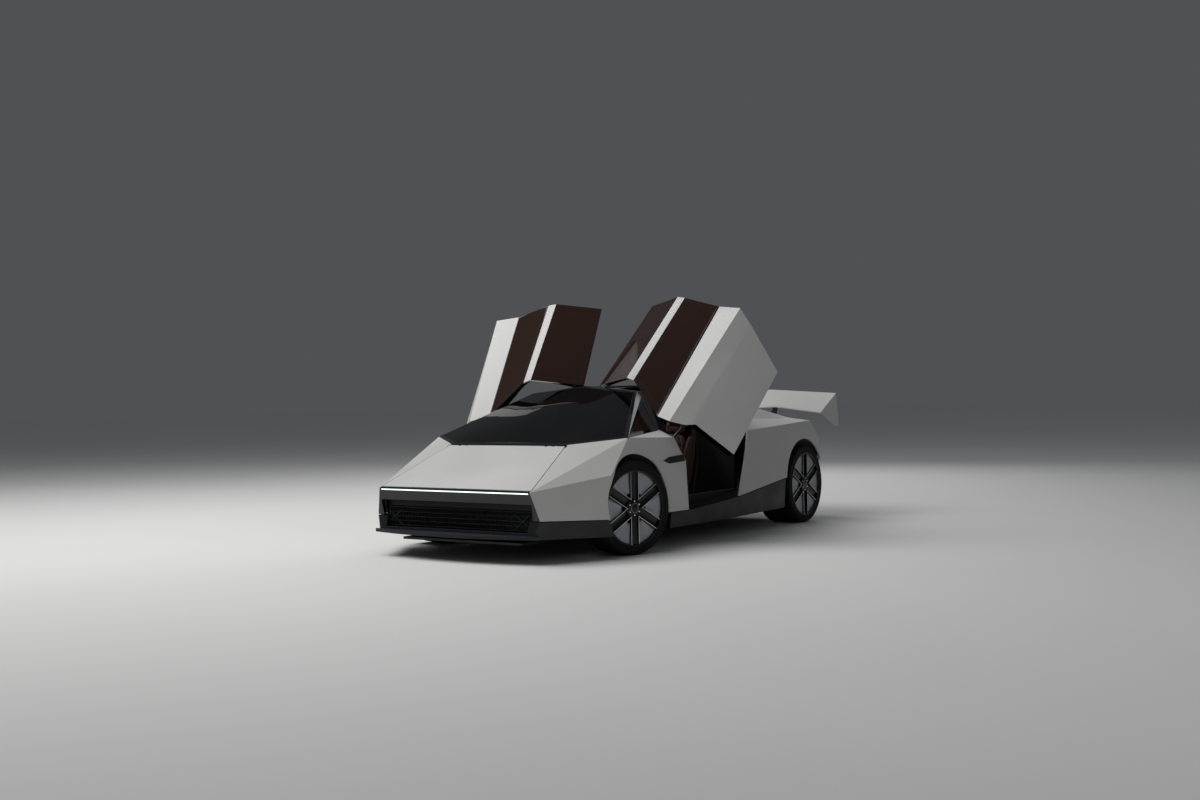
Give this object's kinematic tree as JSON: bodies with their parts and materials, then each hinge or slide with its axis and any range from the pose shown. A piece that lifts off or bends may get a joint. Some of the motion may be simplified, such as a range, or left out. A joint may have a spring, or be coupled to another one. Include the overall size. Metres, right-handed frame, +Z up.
{
  "type": "supercar",
  "caption": "Low faceted wedge-shaped two-seat supercar with raised swing-up doors that carry half the roof, hinged hood, steered front wheels and a fixed rear wing.",
  "frame": {"origin": "floor level under the middle of the car's length and width", "axes": "+X to the car's left, -Y to its front, +Z up"},
  "size_m": [2.8786, 4.515, 1.9097],
  "materials": {
    "body_white": "satin pale silver-white paint",
    "gloss_black": "gloss black with a navy tinge",
    "carbon_black": "satin black moulded composite",
    "dark_glass": "very dark laminated glass",
    "bronze_glass": "bronze tinted glass",
    "brown_trim": "dark brown leather",
    "light_white": "opal light cover",
    "light_red": "red light cover",
    "tyre_rubber": "black tyre rubber",
    "wheel_silver": "satin aluminium",
    "chassis_metal": "cast aluminium",
    "drive_metal": "dark coated casing"
  },
  "bodies": {
    "body": {"fender_left": "body_white", "fender_right": "body_white", "rear_quarter_left": "body_white", "rear_quarter_right": "body_white", "wing": "body_white", "rear_fascia": "body_white", "front_fascia": "gloss_black", "screen_frame": "gloss_black", "rear_deck": "gloss_black", "splitter": "carbon_black", "side_sill_left": "carbon_black", "side_sill_right": "carbon_black", "diffuser": "carbon_black", "floor_pan": "carbon_black", "cabin_tub": "carbon_black", "load_tub": "carbon_black", "arch_liners": "carbon_black", "windscreen": "dark_glass", "rear_window": "dark_glass", "quarter_panes": "bronze_glass", "seat_left": "brown_trim", "seat_right": "brown_trim", "dashboard": "brown_trim", "console": "brown_trim", "front_light_bar": "light_white", "tail_light_bar": "light_red", "front_suspension": "chassis_metal", "rear_suspension": "chassis_metal", "drive_block": "drive_metal"},
    "hood": {"front_lid": "body_white"},
    "hand_wheel": {"steering_wheel": "brown_trim"},
    "door_leaf_left": {"door_left": "body_white", "door_glass_left": "bronze_glass", "door_lining_left": "brown_trim"},
    "door_leaf_right": {"door_right": "body_white", "door_glass_right": "bronze_glass", "door_lining_right": "brown_trim"},
    "steer_left": {"knuckle_left": "chassis_metal"},
    "steer_right": {"knuckle_right": "chassis_metal"},
    "roller_front_left": {"tyre_front_left": "tyre_rubber", "wheel_front_left": "wheel_silver"},
    "roller_front_right": {"tyre_front_right": "tyre_rubber", "wheel_front_right": "wheel_silver"},
    "roller_rear_left": {"tyre_rear_left": "tyre_rubber", "wheel_rear_left": "wheel_silver"},
    "roller_rear_right": {"tyre_rear_right": "tyre_rubber", "wheel_rear_right": "wheel_silver"}
  },
  "joints": [
    {"name": "door_left", "type": "hinge", "parent": "body", "child": "door_leaf_left", "pos_m": [0.8, -0.8135, 0.843], "axis": [0.8012, -0.4181, -0.4281], "range_deg": [-56.7, 0]},
    {"name": "door_right", "type": "hinge", "parent": "body", "child": "door_leaf_right", "pos_m": [-0.8, -0.8135, 0.843], "axis": [0.8012, 0.4181, 0.4281], "range_deg": [-56.7, 0]},
    {"name": "hood", "type": "hinge", "parent": "body", "child": "hood", "pos_m": [0, -1.5335, 0.769], "axis": [1, 0, 0], "range_deg": [-55, 0]},
    {"name": "steer_left", "type": "hinge", "parent": "body", "child": "steer_left", "pos_m": [0.8, -1.2725, 0.335], "axis": [0, 0, 1], "range_deg": [-17, 47]},
    {"name": "steer_right", "type": "hinge", "parent": "body", "child": "steer_right", "pos_m": [-0.8, -1.2725, 0.335], "axis": [0, 0, 1], "range_deg": [-17, 47]},
    {"name": "steering_wheel", "type": "hinge", "parent": "body", "child": "hand_wheel", "pos_m": [0.35, -0.4825, 0.735], "axis": [0, -0.9272, -0.3746], "range_deg": [-470, 170]},
    {"name": "roll_front_left", "type": "hinge", "parent": "steer_left", "child": "roller_front_left", "pos_m": [0.8, -1.2725, 0.335], "axis": [0.9659, -0.2588, 0], "continuous": true},
    {"name": "roll_rear_left", "type": "hinge", "parent": "body", "child": "roller_rear_left", "pos_m": [0.8, 1.4275, 0.335], "axis": [1, 0, 0], "continuous": true},
    {"name": "roll_front_right", "type": "hinge", "parent": "steer_right", "child": "roller_front_right", "pos_m": [-0.8, -1.2725, 0.335], "axis": [0.9659, -0.2588, 0], "continuous": true},
    {"name": "roll_rear_right", "type": "hinge", "parent": "body", "child": "roller_rear_right", "pos_m": [-0.8, 1.4275, 0.335], "axis": [1, 0, 0], "continuous": true}
  ],
  "couplings": [
    {"joint": "steer_right", "follows": "steer_left", "ratio": 1},
    {"joint": "steering_wheel", "follows": "steer_left", "ratio": -10}
  ]
}
